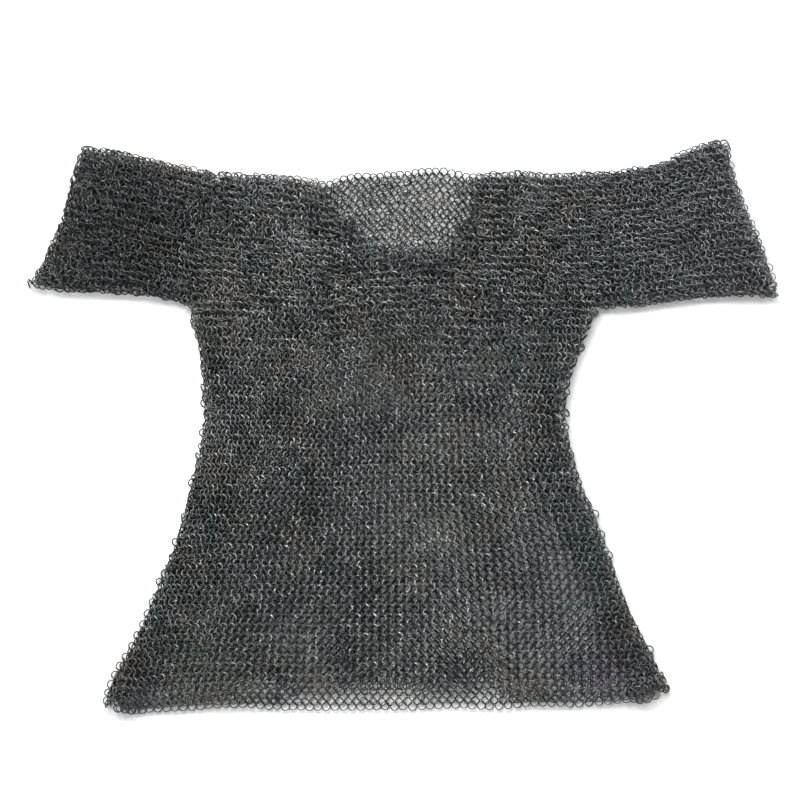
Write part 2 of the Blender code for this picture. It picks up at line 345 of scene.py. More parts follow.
@dataclass(frozen=True)
class Weave:
    """How the rings are linked: each through two above and two below, in rows that run across the shirt."""

    ring_radius: float = 5.8
    wire_radius: float = 0.8
    centre_x: float = -18.0
    # Height, pitch along a row, spacing of the rows
    spread: tuple = (
        (-410.0, 12.6, 6.8),
        (-330.0, 12.2, 7.25),
        (-190.0, 11.5, 7.25),
        (-50.0, 10.0, 7.25),
        (60.0, 9.6, 7.2),
        (120.0, 8.9, 7.0),
        (200.0, 8.6, 5.3),
        (370.0, 8.6, 5.3),
    )
    back_spread: tuple = (
        (-410.0, 12.6, 6.8),
        (-330.0, 12.2, 7.25),
        (-190.0, 11.5, 7.25),
        (-50.0, 10.0, 7.25),
        (60.0, 10.0, 7.2),
        (120.0, 10.0, 6.9),
        (200.0, 10.1, 6.2),
        (370.0, 10.1, 6.2),
    )
    # Height, and the back layer's shift against the front one in pitches and in rows
    offset: tuple = ((-410.0, 0.5, 0.5), (120.0, 0.5, 0.5), (230.0, 0.25, 1.0), (370.0, 0.25, 1.0))
    # Height, and how much wider apart the rings lie for each millimetre further to the left
    widening: tuple = (
        (-410.0, 0.00015),
        (-250.0, 0.0005),
        (20.0, 0.0006),
        (110.0, 0.0),
        (370.0, 0.0),
    )
    hem_inset: float = 6.2
    fold_inset: float = 5.6
    # Height, a ring's lean, how far each row lies over the next, and the way of the front's lean
    leans: tuple = (
        (-410.0, 25.0, 3.0, 24.0),
        (-330.0, 28.0, 4.0, 24.0),
        (90.0, 30.0, 5.0, 26.0),
        (210.0, 29.0, 9.0, 52.0),
        (370.0, 29.0, 9.0, 52.0),
    )
    back_lean_way: float = 26.0
    most_lean_way: float = 64.0
    # How much the way of the front's lean drifts, and the height over which this comes in
    way_drift: float = 33.0
    way_drift_from: float = 90.0
    way_drift_over: float = 110.0
    # The size of the patches in which rings wander across and up, lean alike and turn alike
    wander_reach: tuple = (170.0, 150.0)
    lean_reach: float = 95.0
    way_reach: float = 60.0
    # The shares of their lean and shingle that the rings of a free edge lose
    flat_lean: float = 0.6
    flat_shingle: float = 0.5
    # Degrees by which a drift or a ridge changes how a ring stands
    drift_lean: float = 2.5
    drift_shingle: float = 2.0
    ridge_lean: float = 9.0
    # How much lower the rings of a free edge lie
    flat_drop: float = 0.8
    # Height, how far a ring strays from its place, and how far it tips
    stray: tuple = ((-410.0, 0.5, 7.0), (100.0, 0.6, 8.5), (210.0, 1.1, 17.0), (370.0, 1.1, 17.0))
    # How far each layer wanders from its drawing
    front_wander: float = 1.2
    back_wander: float = 2.0
    # The back's share of the front's stray and tip
    back_stray: float = 0.75
    back_tip: float = 0.6
    size_spread: float = 0.012
    # Height, and where across the back layer starts and stops lying to the right of its place
    slips: tuple = (
        (-410.0, 20.0, 90.0),
        (-250.0, -60.0, 90.0),
        (-120.0, -130.0, 180.0),
        (-50.0, -160.0, 400.0),
        (100.0, -160.0, 400.0),
    )
    slip_starts_over: float = 130.0
    slip_stops_over: float = 90.0
    most_slip: float = 0.24
    natural_pitch: float = 10.0
    natural_row: float = 7.2
    yoke_rise: float = 0.8
    yoke_from: float = 110.0
    yoke_over: float = 120.0
    # How much a ridge draws rings together and sets them steeper, for each millimetre of its rise
    ridge_pull: float = 0.13
    ridge_crowding: float = 0.4
    ridges: tuple = (
        Ridge(-112.0, 318.0, 95.0, 34.0, 2.4, 112.0),
        Ridge(118.0, 318.0, 100.0, 36.0, 2.4, 72.0),
        Ridge(4.0, 246.0, 170.0, 26.0, 1.2, 2.0),
        Ridge(-412.0, 378.0, 60.0, 26.0, 1.8, 92.0),
        Ridge(-505.0, 222.0, 80.0, 30.0, 2.0, 35.0),
        Ridge(-322.0, 205.0, 110.0, 34.0, 1.6, 58.0),
        Ridge(306.0, 212.0, 120.0, 36.0, 1.6, 124.0),
        Ridge(4.0, 112.0, 130.0, 44.0, 1.0, 96.0),
        Ridge(-196.0, 40.0, 190.0, 48.0, 1.1, 74.0),
        Ridge(150.0, 20.0, 170.0, 44.0, 1.1, 106.0),
        Ridge(-60.0, -120.0, 240.0, 52.0, 0.9, 84.0),
        Ridge(205.0, -230.0, 230.0, 50.0, 1.2, 112.0),
        Ridge(-270.0, -300.0, 190.0, 46.0, 1.2, 64.0),
    )

    def spread_of(self, layer: Layer) -> tuple:
        """The table of spacings for a layer."""
        return self.spread if layer is Layer.FRONT else self.back_spread

    def row_spacing(self, height: Any, layer: Layer) -> np.ndarray:
        """The distance from row to row at some height."""
        return columns_at(self.spread_of(layer), height)[1]

    def pitch(self, height: Any, layer: Layer) -> np.ndarray:
        """The distance from ring to ring along a row at some height."""
        return columns_at(self.spread_of(layer), height)[0]

    def widened(self, along: np.ndarray, height: float) -> np.ndarray:
        """The places across of even steps from the middle, which grow a little from right to left."""
        growth = max(float(columns_at(self.widening, height)[0]), 1e-7)
        return (np.exp(growth * along) - 1.0) / growth

    def slip(self, x: np.ndarray, height: float) -> np.ndarray:
        """How far the back layer lies to the right of its place, in pitches: most left of the waist."""
        start, end = (float(place) for place in columns_at(self.slips, height))
        starting = ease((x - start) / self.slip_starts_over)
        return self.most_slip * starting * (1.0 - ease((x - end) / self.slip_stops_over))

    def back_offset(self, height: Any) -> np.ndarray:
        """How far the back layer's rings lie from the front's, in pitches and in rows."""
        return np.array(columns_at(self.offset, height))

    def row_shares(self, layer: Layer, lowest: float, highest: float) -> np.ndarray:
        """The rows from the hem to the shoulder, as shares of the way up.

        Args:
            layer: The layer that they are in.
            lowest: The height of the lowest row in the middle of the shirt.
            highest: The height of the highest.

        Returns:
            Rising shares from 0 to 1.
        """
        levels = [lowest]
        while levels[-1] < highest:
            levels.append(levels[-1] + float(self.row_spacing(levels[-1], layer)))
        rows = np.array(levels)
        return (rows - rows[0]) / (rows[-1] - rows[0])

    def ridge_rise(self, x: np.ndarray, y: np.ndarray) -> np.ndarray:
        """How far the top layer stands up over its plain height."""
        rise = self.yoke_rise * ease((y - self.yoke_from) / self.yoke_over)
        for ridge in self.ridges:
            rise = rise + ridge.rise * ridge.shares(x, y)[0]
        return rise

    def drawn_in(self, x: np.ndarray, y: np.ndarray) -> tuple[np.ndarray, np.ndarray, np.ndarray]:
        """The places after the ridges have drawn the rings together, with how much they did."""
        crowding = np.zeros(len(x))
        for ridge in self.ridges:
            strength, way, aside = ridge.shares(x, y)
            pull = -self.ridge_pull * ridge.rise * strength * aside
            x, y = x + pull * way[0], y + pull * way[1]
            crowding += self.ridge_crowding * ridge.rise * strength
        return x, y, crowding

    def set_rings(
        self,
        layer: Layer,
        x: np.ndarray,
        y: np.ndarray,
        odd: np.ndarray,
        heading: np.ndarray,
        flat: np.ndarray,
        seed: int,
    ) -> Rings:
        """Lays rings on a layer, each leaning over its neighbours.

        Args:
            layer: The layer that they are on.
            x: Their places across, in millimetres.
            y: Their heights.
            odd: 1 for the rings of odd rows and 0 for the others.
            heading: The direction of the row at each ring, in radians from X.
            flat: 1 where a free edge lets the rings lie flat, 0 elsewhere.
            seed: Sets the small irregularities.

        Returns:
            The rings.
        """
        chance = np.random.default_rng(seed)
        count = len(x)
        crowding = np.zeros(count)
        if layer is Layer.FRONT:
            x, y, crowding = self.drawn_in(x, y)
        wander = self.front_wander if layer is Layer.FRONT else self.back_wander
        off, tip = columns_at(self.stray, y)
        if layer is Layer.BACK:
            off, tip = self.back_stray * off, self.back_tip * tip
        reach_x, reach_y = self.wander_reach
        x = x + wander * Drift(seed + 1, reach_x).at(x, y) + off * chance.normal(0.0, 1.0, count)
        y = y + wander * Drift(seed + 2, reach_y).at(x, y) + off * chance.normal(0.0, 1.0, count)
        loose = Drift(seed + 3, self.lean_reach).at(x, y)
        lean, shingle, way = columns_at(self.leans, y)
        lean = lean * (1.0 - self.flat_lean * flat) + self.drift_lean * loose
        lean = lean + self.ridge_lean * crowding + tip * chance.normal(0.0, 1.0, count)
        shingle = shingle * (1.0 - self.flat_shingle * flat)
        shingle = shingle + self.drift_shingle * loose + tip * chance.normal(0.0, 1.0, count)
        side = np.where(odd > 0.5, -1.0, 1.0) * layer.way
        fall = np.tan(np.radians(lean)) * side
        coming_in = ease((y - self.way_drift_from) / self.way_drift_over)
        way = way + self.way_drift * Drift(seed + 4, self.way_reach).at(x, y) * coming_in
        if layer is Layer.BACK:
            way = np.full(count, self.back_lean_way)
        way = np.radians(np.clip(way, 0.0, self.most_lean_way))
        along = fall * np.cos(way)
        across = fall * np.sin(way) + np.tan(np.radians(shingle))
        if layer is Layer.FRONT:
            slope_x = (self.ridge_rise(x + 1.0, y) - self.ridge_rise(x - 1.0, y)) / 2.0
            slope_y = (self.ridge_rise(x, y + 1.0) - self.ridge_rise(x, y - 1.0)) / 2.0
        else:
            slope_x = slope_y = np.zeros(count)
        c, s = np.cos(heading), np.sin(heading)
        tilt_x = -(along * c - across * s) - slope_x
        tilt_y = -(along * s + across * c) - slope_y
        facing = unit(np.stack([tilt_x, tilt_y, np.ones(count)], axis=1))
        half = self.ring_radius * np.sqrt(1.0 - facing[:, 2] ** 2) + self.wire_radius
        z = np.maximum(layer.middle - self.flat_drop * flat, half + 0.05)
        if layer is Layer.FRONT:
            z = z + self.ridge_rise(x, y)
        sizes = 1.0 + chance.normal(0.0, self.size_spread, count)
        return Rings(np.stack([x, y, z], axis=1), facing, sizes)


# The quarter turn of a fold along the mail, for each millimetre of its bend
FOLD_REACH = 3.2
# A ring's radius and its wire's, with a little air
FOLDED_RADIUS = 5.8
FOLDED_WIRE = 0.85


def fold_over(
    rings: Rings, layer: Layer, inside: np.ndarray, outward: np.ndarray, most: np.ndarray
) -> Rings:
    """Turns the rings near a fold down or up to where the two layers meet.

    Args:
        rings: The rings, which lie flat.
        layer: Their layer.
        inside: The distance of each from the outer face of the fold, in millimetres.
        outward: The direction straight out over the fold at each.
        most: The most that each turns, in degrees.

    Returns:
        The rings, with those near the fold turned.
    """
    bend = (Layer.FRONT.middle - Layer.BACK.middle) / 2.0
    middle = (Layer.FRONT.middle + Layer.BACK.middle) / 2.0
    quarter = FOLD_REACH * bend
    round_it = np.clip(inside / quarter, 0.0, 1.0)
    near = round_it < 1.0
    turn = np.minimum(np.radians(90.0) * (1.0 - round_it), np.radians(most))
    facing = turned(rings.facing, np.cross(np.broadcast_to(UP, outward.shape), outward), layer.way * turn)
    z = middle + layer.way * bend * np.sin(0.5 * math.pi * round_it)
    z = np.where(near, z, rings.places[:, 2])
    half = FOLDED_RADIUS * np.sqrt(np.clip(1.0 - facing[:, 2] ** 2, 0.0, 1.0)) + FOLDED_WIRE
    places = rings.places.copy()
    places[:, 2] = np.maximum(z, half)
    return Rings(places, facing, rings.sizes)


class ShaderValue:
    """A socket of a shader tree that sums, products and the like can be written with."""

    def __init__(self, tree: ShaderTree, socket: bpy.types.NodeSocket) -> None:
        """Keeps the socket and the tree that it is in."""
        self.tree = tree
        self.socket = socket

    def _math(self, operation: str, *others: Any, clamp: bool = False) -> ShaderValue:
        """A Math node on this value and others."""
        return self.tree.node("ShaderNodeMath", {"operation": operation, "use_clamp": clamp}, *others)

    def __add__(self, other: Any) -> ShaderValue:
        return self._math("ADD", self, other)

    def __radd__(self, other: Any) -> ShaderValue:
        return self._math("ADD", other, self)

    def __sub__(self, other: Any) -> ShaderValue:
        return self._math("SUBTRACT", self, other)

    def __rsub__(self, other: Any) -> ShaderValue:
        return self._math("SUBTRACT", other, self)

    def __mul__(self, other: Any) -> ShaderValue:
        return self._math("MULTIPLY", self, other)

    def held(self) -> ShaderValue:
        """The value, held between 0 and 1."""
        return self._math("ADD", self, 0.0, clamp=True)

    def between(self, low: float, high: float) -> ShaderValue:
        """A smooth step from 0 at the low value to 1 at the high one."""
        return self.tree.node(
            "ShaderNodeMapRange", {"interpolation_type": "SMOOTHSTEP"}, self, low, high, 0.0, 1.0
        )


class ShaderTree:
    """Builds the nodes of one material."""

    MAIL_HEIGHT = 7.0

    def __init__(self, material: bpy.types.Material) -> None:
        """Starts with the material's own shader and output alone."""
        material.use_nodes = True
        self.nodes = material.node_tree.nodes
        self.links = material.node_tree.links
        self.shader = self.nodes["Principled BSDF"]

    def node(self, kind: str, settings: dict, *inputs: Any, out: Any = 0, **named: Any) -> ShaderValue:
        """Adds a node.

        Args:
            kind: The node's type.
            settings: Its properties, set before its inputs.
            inputs: Values or links for its inputs in order, with None for one left alone.
            out: The output to take, by index or name.
            named: Values or links for inputs by name, with _ for a space.

        Returns:
            The chosen output.
        """
        made = self.nodes.new(kind)
        for name, value in settings.items():
            setattr(made, name, value)
        for socket, value in zip(made.inputs, inputs):
            self.join(socket, value)
        for name, value in named.items():
            self.join(made.inputs[name.replace("_", " ")], value)
        return ShaderValue(self, made.outputs[out])

    def join(self, socket: bpy.types.NodeSocket, value: Any) -> None:
        """Gives a socket a link or a plain value."""
        if isinstance(value, ShaderValue):
            self.links.new(value.socket, socket)
        elif value is not None:
            socket.default_value = value

    def mix(self, share: Any, first: Any, second: Any) -> ShaderValue:
        """A colour between two others."""
        made = self.nodes.new("ShaderNodeMix")
        made.data_type = "RGBA"
        for name, value in (("Factor_Float", share), ("A_Color", first), ("B_Color", second)):
            self.join(next(s for s in made.inputs if s.identifier == name), value)
        return ShaderValue(self, next(s for s in made.outputs if s.identifier == "Result_Color"))

    def noise(self, place: ShaderValue, scale: float, detail: float = 2.0) -> ShaderValue:
        """A soft random pattern."""
        return self.node("ShaderNodeTexNoise", {}, place, out="Fac", Scale=scale, Detail=detail)

    def distance(self, place: ShaderValue, across: float, height: float) -> ShaderValue:
        """How far a place is from one on the mail that is given in millimetres."""
        middle = (across * MM, height * MM, self.MAIL_HEIGHT * MM)
        return self.node("ShaderNodeVectorMath", {"operation": "DISTANCE"}, place, middle, out="Value")

    def set(self, name: str, value: Any) -> None:
        """Feeds an input of the shader."""
        self.join(self.shader.inputs[name], value)


@dataclass(frozen=True)
class TintAndShadePatch:
    """A spot where the steel takes another colour: mostly a cast of its own, on a few spots painted light
    and painted shade.
    """

    across: float
    height: float
    reach: float
    colour: tuple
    strength: float


@dataclass(frozen=True)
class BlackenedSteel:
    """Blackened, oiled round-wire rings: rubbed tops with painted glints, painted shade low down, tints,
    painted light and painted shade.
    """

    name: str = "blackened_steel_rings"
    dark: tuple = (0.036, 0.039, 0.039, 1.0)
    pale: tuple = (0.168, 0.177, 0.175, 1.0)
    # A light rubbed colour for the ring tops, laid on between these heights: partly real wear, partly a
    # painted glint
    rub_and_glint_colour: tuple = (0.60, 0.62, 0.63, 1.0)
    rub_and_glint_from: float = 10.0
    rub_and_glint_to: float = 13.8
    # Heights between which a painted shade fades out: below the lower one the steel is painted darkest, as
    # if shaded by the layer on top, above the higher one not at all
    painted_shade_deepest_to: float = 4.5
    painted_shade_gone_from: float = 10.5
    roughness: float = 0.47
    # Across, height and reach of the part of the front whose ring tops are rubbed most and carry the most
    # painted glints, the steel around them a little darker
    polish_and_glint_place: tuple = (-10.0, -190.0)
    polish_and_glint_reach: tuple = (110.0, 320.0)
    brown_cast: tuple = (0.145, 0.118, 0.105, 1.0)
    green_cast: tuple = (0.085, 0.125, 0.115, 1.0)
    # Tints of the steel, and painted light and painted shade, each as a spot that fades out from its middle
    tint_and_shade_patches: tuple = (
        TintAndShadePatch(-290.0, -335.0, 70.0, (0.080, 0.115, 0.088, 1.0), 0.4),
        TintAndShadePatch(250.0, -180.0, 120.0, (0.125, 0.160, 0.165, 1.0), 0.4),
        TintAndShadePatch(225.0, -255.0, 90.0, (0.100, 0.120, 0.152, 1.0), 0.4),
        TintAndShadePatch(290.0, -345.0, 90.0, (0.098, 0.117, 0.155, 1.0), 0.45),
        TintAndShadePatch(-400.0, -390.0, 60.0, (0.090, 0.105, 0.125, 1.0), 0.5),
        TintAndShadePatch(295.0, -352.0, 45.0, (0.130, 0.095, 0.135, 1.0), 0.4),
        TintAndShadePatch(-408.0, -345.0, 40.0, (0.120, 0.085, 0.064, 1.0), 0.45),
        TintAndShadePatch(330.0, -300.0, 55.0, (0.100, 0.076, 0.060, 1.0), 0.35),
        TintAndShadePatch(-10.0, 105.0, 60.0, (0.100, 0.075, 0.060, 1.0), 0.3),
        TintAndShadePatch(-285.0, 160.0, 60.0, (0.110, 0.110, 0.080, 1.0), 0.35),
        TintAndShadePatch(0.0, -110.0, 130.0, (0.250, 0.262, 0.256, 1.0), 0.22),
        TintAndShadePatch(0.0, 322.0, 90.0, (0.050, 0.052, 0.052, 1.0), 0.15),
        # Painted shade in the creases along both sides of the neckline
        TintAndShadePatch(-98.0, 315.0, 42.0, (0.030, 0.030, 0.030, 1.0), 0.6),
        TintAndShadePatch(98.0, 305.0, 34.0, (0.030, 0.030, 0.030, 1.0), 0.5),
        # Painted light on the left sleeve and painted shade on the right one, as the lamps fall on them
        TintAndShadePatch(430.0, 290.0, 190.0, (0.185, 0.195, 0.220, 1.0), 0.4),
        TintAndShadePatch(-430.0, 290.0, 190.0, (0.040, 0.040, 0.041, 1.0), 0.65),
    )

    def build(self) -> bpy.types.Material:
        """Makes the material."""
        material = bpy.data.materials.new(self.name)
        tree = ShaderTree(material)
        place = tree.node("ShaderNodeTexCoord", {}, out="Object")
        height = tree.node("ShaderNodeSeparateXYZ", {}, place, out="Z")
        tone = tree.node("ShaderNodeAttribute", {"attribute_name": "ring_tone"}, out="Fac")
        cloudy = tree.noise(place, 9.0)
        scale = tree.noise(place, 420.0, 3.0)
        grime = tree.noise(place, 1500.0)
        patchy = tree.noise(place, 34.0, 1.0)
        lightness = tone * 0.6 + cloudy.between(0.30, 0.72) * 0.3 + patchy.between(0.36, 0.64) * 0.3
        near, far = (reach * MM for reach in self.polish_and_glint_reach)
        polish_and_glint_area = 1.0 - tree.distance(place, *self.polish_and_glint_place).between(near, far)
        lightness = (lightness + scale * 0.25 - 0.13 - polish_and_glint_area * 0.07).held()
        # Painted shade: the lower the wire lies, the darker its colour, down to 0.4 of it on the layer below
        lightness = lightness * (0.4 + height.between(self.painted_shade_deepest_to * MM, self.painted_shade_gone_from * MM) * 0.6)
        colour = tree.mix(lightness, self.dark, self.pale)
        cast = tree.noise(place, 17.0, 1.0)
        colour = tree.mix(cast.between(0.52, 0.68) * 0.35, colour, self.brown_cast)
        colour = tree.mix((1.0 - cast).between(0.52, 0.68) * 0.35, colour, self.green_cast)
        # The highest wire is mixed towards the light rubbed colour: partly real wear, partly painted glints;
        # the rubbed share also smooths the steel
        crown = height.between(self.rub_and_glint_from * MM, self.rub_and_glint_to * MM)
        crown_rub_and_sheen = crown * scale.between(0.35, 0.65) * (0.4 + tone * 0.6)
        crown_rub_and_sheen = (crown_rub_and_sheen * (0.75 + patchy * 0.5)).held()
        # Painted glints: scattered specks of the light rubbed colour on some ring tops, most of them in the
        # middle of the front
        specks = tree.noise(place, 300.0, 1.0)
        polish_and_glint_specks = specks.between(0.52, 0.66) * tone.between(0.55, 0.80) * (0.55 + polish_and_glint_area * 0.45)
        rub_and_glint_share = crown_rub_and_sheen * (0.15 + polish_and_glint_area * 0.10) + crown * polish_and_glint_specks
        colour = tree.mix(rub_and_glint_share.held(), colour, self.rub_and_glint_colour)
        tree.set("Base Color", self.tinted_and_shaded(tree, place, cloudy, colour))
        tree.set("Roughness", (self.roughness + scale * 0.16 - crown_rub_and_sheen * 0.08 + grime * 0.06).held())
        tree.set("Metallic", 1.0)
        pits = scale * 0.7 + grime * 0.3
        tree.set("Normal", tree.node("ShaderNodeBump", {}, Strength=0.25, Distance=0.00012, Height=pits))
        return material

    def tinted_and_shaded(
        self, tree: ShaderTree, place: ShaderValue, cloudy: ShaderValue, colour: ShaderValue
    ) -> ShaderValue:
        """Lays the tints, painted light and painted shade over the steel's own colour, each fading out from
        its middle.
        """
        ragged = (cloudy - 0.5) * 0.08
        for patch in self.tint_and_shade_patches:
            away = tree.distance(place, patch.across, patch.height) + ragged
            inside = 1.0 - away.between(0.2 * patch.reach * MM, 1.2 * patch.reach * MM)
            colour = tree.mix(inside * patch.strength, colour, patch.colour)
        return colour


@dataclass(frozen=True)
class PaleFloor:
    """The plain white ground."""

    name: str = "pale_floor"
    colour: tuple = (0.90, 0.90, 0.90, 1.0)
    shade: tuple = (0.88, 0.88, 0.88, 1.0)

    def build(self) -> bpy.types.Material:
        """Makes the material."""
        material = bpy.data.materials.new(self.name)
        tree = ShaderTree(material)
        place = tree.node("ShaderNodeTexCoord", {}, out="Object")
        faint = tree.noise(place, 3.0)
        tree.set("Base Color", tree.mix(faint * 0.1, self.colour, self.shade))
        tree.set("Roughness", 0.9)
        tree.set("Specular IOR Level", 0.1)
        return material


@dataclass
class RingMaker:
    """Makes a piece of mail: one ring on every point, by Geometry Nodes."""

    finish: bpy.types.Material
    weave: Weave
    tone_seed: int = 31
    tree: bpy.types.NodeTree = field(init=False)

    def __post_init__(self) -> None:
        """Builds the tree once for all the pieces."""
        self.tree = bpy.data.node_groups.new("mail_rings", "GeometryNodeTree")
        self.build_tree()

    def node(self, kind: str, inputs: dict, out: int = 0, **settings: Any) -> bpy.types.NodeSocket:
        """Adds a node.

        Args:
            kind: The node's type.
            inputs: A value or an output socket for each input, by name or index.
            out: The output to take.
            settings: Its properties, set before its inputs.

        Returns:
            The chosen output.
        """
        made = self.tree.nodes.new(kind)
        for name, value in settings.items():
            setattr(made, name, value)
        for key, value in inputs.items():
            socket = made.inputs[key]
            if isinstance(value, bpy.types.NodeSocket):
                self.tree.links.new(value, socket)
            else:
                socket.default_value = value
        return made.outputs[out]

    def named(self, name: str, kind: str) -> bpy.types.NodeSocket:
        """Reads an attribute of the points."""
        return self.node("GeometryNodeInputNamedAttribute", {"Name": name}, data_type=kind)

    def chance(self, most: float, seed: Any) -> bpy.types.NodeSocket:
        """A random value from 0 up."""
        inputs = {2: 0.0, 3: most, "Seed": seed}
        return self.node("FunctionNodeRandomValue", inputs, out=1, data_type="FLOAT")

    def build_tree(self) -> None:
        """Sets the named inputs and the nodes."""
        wanted = (
            ("Geometry", "NodeSocketGeometry", None),
            ("Ring Radius", "NodeSocketFloat", self.weave.ring_radius * MM),
            ("Wire Radius", "NodeSocketFloat", self.weave.wire_radius * MM),
            ("Ring Segments", "NodeSocketInt", 10),
            ("Wire Sides", "NodeSocketInt", 3),
            ("Seed", "NodeSocketInt", 7),
            ("Finish", "NodeSocketMaterial", None),
        )
        for name, kind, value in wanted:
            socket = self.tree.interface.new_socket(name, in_out="INPUT", socket_type=kind)
            if value is not None:
                socket.default_value = value
        self.tree.interface.new_socket("Geometry", in_out="OUTPUT", socket_type="NodeSocketGeometry")
        given = self.tree.nodes.new("NodeGroupInput").outputs
        circle = "GeometryNodeCurvePrimitiveCircle"
        ring, wire = (
            self.node(circle, {"Resolution": given[sides], "Radius": given[radius]})
            for sides, radius in (("Ring Segments", "Ring Radius"), ("Wire Sides", "Wire Radius"))
        )
        bent = self.node("GeometryNodeCurveToMesh", {"Curve": ring, "Profile Curve": wire})
        smooth = self.node("GeometryNodeSetShadeSmooth", {"Geometry": bent})
        facing = self.named("facing", "FLOAT_VECTOR")
        leaning = self.node("FunctionNodeAlignRotationToVector", {"Vector": facing}, axis="Z")
        spin = self.chance(2.0 * math.pi, given["Seed"])
        spun = self.node("FunctionNodeAxisAngleToRotation", {"Axis": (0.0, 0.0, 1.0), "Angle": spin})
        turn = self.node(
            "FunctionNodeRotateRotation", {"Rotation": leaning, "Rotate By": spun}, rotation_space="LOCAL"
        )
        placed = {
            "Points": given["Geometry"],
            "Instance": smooth,
            "Rotation": turn,
            "Scale": self.named("ring_size", "FLOAT"),
        }
        toned = self.node(
            "GeometryNodeStoreNamedAttribute",
            {
                "Geometry": self.node("GeometryNodeInstanceOnPoints", placed),
                "Name": "ring_tone",
                "Value": self.chance(1.0, self.tone_seed),
            },
            data_type="FLOAT",
            domain="INSTANCE",
        )
        real = self.node("GeometryNodeRealizeInstances", {"Geometry": toned})
        coated = self.node("GeometryNodeSetMaterial", {"Geometry": real, "Material": given["Finish"]})
        self.tree.links.new(coated, self.tree.nodes.new("NodeGroupOutput").inputs["Geometry"])

    def make(self, name: str, rings: Rings, segments: int, seed: int, wire: float) -> bpy.types.Object:
        """Makes one piece of mail as a plain mesh.

        Args:
            name: The piece's name.
            rings: Where its rings are.
            segments: Sides of a ring.
            seed: Sets how the rings are spun and toned.
            wire: How many times its radius a wire with so few sides is drawn, to look as thick as it is.

        Returns:
            The piece.
        """
        drawn_radius = self.weave.wire_radius * wire
        rings.lift_from_ground(self.weave.ring_radius, drawn_radius)
        holder = add_object(name + "_points", self.points(name, rings))
        modifier = holder.modifiers.new("rings", "NODES")
        modifier.node_group = self.tree
        wire_radius = drawn_radius * MM
        values = {"Wire Radius": wire_radius, "Ring Segments": segments, "Seed": seed, "Finish": self.finish}
        for socket in self.tree.interface.items_tree:
            if socket.in_out == "INPUT" and socket.name in values:
                modifier[socket.identifier] = values[socket.name]
        holder.update_tag()
        graph = bpy.context.evaluated_depsgraph_get()
        mesh = bpy.data.meshes.new_from_object(holder.evaluated_get(graph), depsgraph=graph)
        holder.modifiers.remove(modifier)
        bpy.data.objects.remove(holder, do_unlink=True)
        mesh.name = name
        return add_object(name, mesh)

    @staticmethod
    def points(name: str, rings: Rings) -> bpy.types.Mesh:
        """A mesh with one point for each ring, with the ring's way and size."""
        points = bpy.data.meshes.new(name + "_points")
        points.vertices.add(len(rings))
        points.vertices.foreach_set("co", (rings.places * MM).astype(np.float32).ravel())
        facing = points.attributes.new("facing", "FLOAT_VECTOR", "POINT")
        facing.data.foreach_set("vector", rings.facing.astype(np.float32).ravel())
        size = points.attributes.new("ring_size", "FLOAT", "POINT")
        size.data.foreach_set("value", rings.sizes.astype(np.float32))
        return points


def gathered(runs: list[dict[str, np.ndarray]]) -> dict[str, np.ndarray]:
    """The values of several rows of rings, each name's in one array."""
    return {name: np.concatenate([run[name] for run in runs]) for name in runs[0]}


